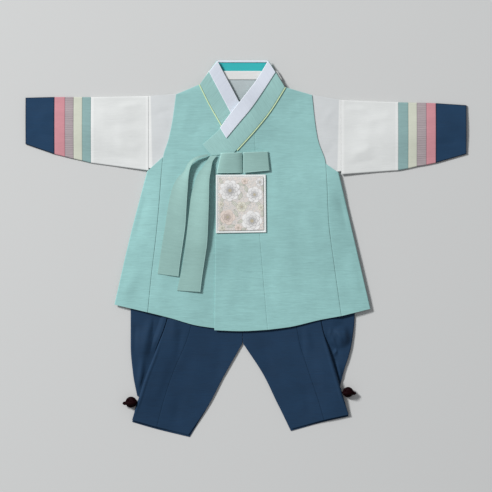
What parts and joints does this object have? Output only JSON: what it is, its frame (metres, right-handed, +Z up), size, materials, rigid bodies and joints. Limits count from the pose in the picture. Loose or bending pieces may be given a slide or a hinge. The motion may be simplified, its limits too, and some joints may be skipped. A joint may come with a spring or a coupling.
{
  "type": "korean hanbok set for a baby boy, laid flat",
  "caption": "First-birthday hanbok laid flat: sleeveless overcoat with bow, ribbons and badge, jacket with striped sleeves, crossed collar, and baggy trousers with ankle knots.",
  "frame": {"origin": "centre of the footprint, on the surface the clothes lie on", "axes": "+X to the wearer's left, +Y towards the collar, +Z up off the surface"},
  "size_m": [0.7068, 0.6034, 0.0242],
  "materials": {
    "coat": "matt slubbed silk blend",
    "collar_back": "satin lining",
    "piping": "satin",
    "strip": "satin",
    "jacket": "matt silk blend",
    "band_mint": "matt silk blend",
    "band_cream": "matt silk blend",
    "band_mauve": "ribbed",
    "band_pink": "matt silk blend",
    "cuff": "matt silk blend",
    "ribbon": "matt silk blend",
    "badge": "brocade",
    "badge_border": "satin",
    "trousers": "matt silk blend",
    "knot": "satin cord"
  },
  "bodies": {
    "root": {"ankle_knot_left": "knot", "ankle_knot_right": "knot", "badge": "badge", "badge_border": "badge_border", "band_cream_left": "band_cream", "band_cream_right": "band_cream", "band_mauve_left": "band_mauve", "band_mauve_right": "band_mauve", "band_mint_left": "band_mint", "band_mint_right": "band_mint", "band_pink_left": "band_pink", "band_pink_right": "band_pink", "bow_loop": "ribbon", "bow_wrap": "ribbon", "coat_back": "coat", "coat_front_left": "coat", "coat_front_right": "coat", "coat_overlap": "coat", "coat_side_left": "coat", "coat_side_right": "coat", "collar_back": "collar_back", "collar_band_left": "coat", "collar_band_right": "coat", "cuff_left": "cuff", "cuff_right": "cuff", "jacket_back": "jacket", "jacket_facing": "jacket", "jacket_front_left": "jacket", "jacket_front_right": "jacket", "piping_left": "piping", "piping_right": "piping", "ribbon_over": "ribbon", "ribbon_under": "ribbon", "sleeve_left": "jacket", "sleeve_right": "jacket", "strip_back": "strip", "strip_left": "strip", "strip_right": "strip", "trousers_back_left": "trousers", "trousers_back_right": "trousers", "trousers_front_left": "trousers", "trousers_front_right": "trousers", "trousers_outer_front_left": "trousers", "trousers_outer_front_right": "trousers", "trousers_side_left": "trousers", "trousers_side_right": "trousers", "waistband_back": "trousers", "waistband_front": "trousers"}
  },
  "joints": []
}
